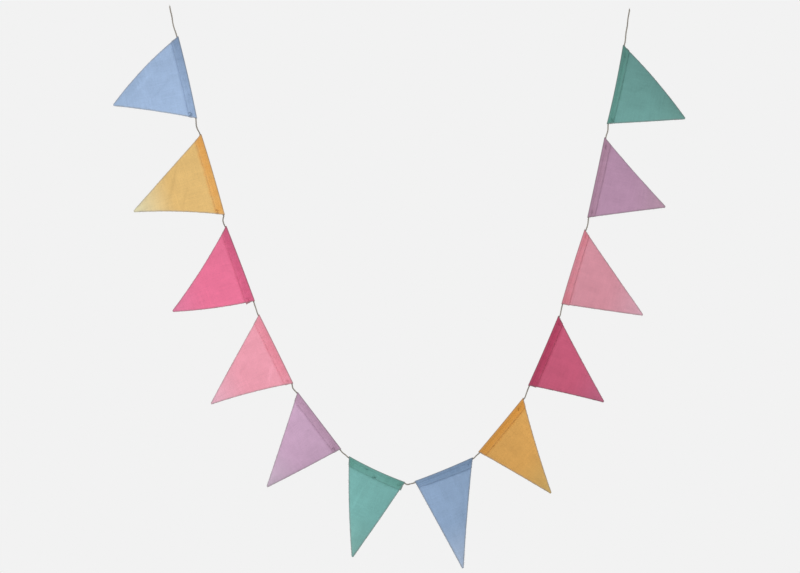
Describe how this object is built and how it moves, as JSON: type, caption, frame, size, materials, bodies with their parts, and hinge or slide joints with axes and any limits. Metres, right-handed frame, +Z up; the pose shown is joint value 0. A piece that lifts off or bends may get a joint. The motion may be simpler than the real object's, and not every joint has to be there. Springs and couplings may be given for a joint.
{
  "type": "fabric bunting",
  "caption": "Hanging bunting of triangular burlap pennants in faded colours, threaded by their folded hems on a jute twine.",
  "frame": {"origin": "left end of the twine, where it is tied up", "axes": "+X from the left end towards the right end of the twine, +Z up, -Y the front that shows the hems"},
  "size_m": [1.143, 0.0173, 1.1265],
  "materials": {
    "burlap_blue": "matt plain-woven burlap, dyed blue",
    "burlap_ochre": "matt plain-woven burlap, dyed ochre",
    "burlap_pink": "matt plain-woven burlap, dyed pink",
    "burlap_rose": "matt plain-woven burlap, dyed rose",
    "burlap_lilac": "matt plain-woven burlap, dyed lilac",
    "burlap_green": "matt plain-woven burlap, dyed green",
    "jute_twine": "undyed twisted jute, hairy and matt"
  },
  "bodies": {
    "root": {"flag_01_blue": "burlap_blue", "flag_02_ochre": "burlap_ochre", "flag_03_pink": "burlap_pink", "flag_04_rose": "burlap_rose", "flag_05_lilac": "burlap_lilac", "flag_06_green": "burlap_green", "flag_07_blue": "burlap_blue", "flag_08_ochre": "burlap_ochre", "flag_09_pink": "burlap_pink", "flag_10_rose": "burlap_rose", "flag_11_lilac": "burlap_lilac", "flag_12_green": "burlap_green", "twine": "jute_twine"}
  },
  "joints": []
}
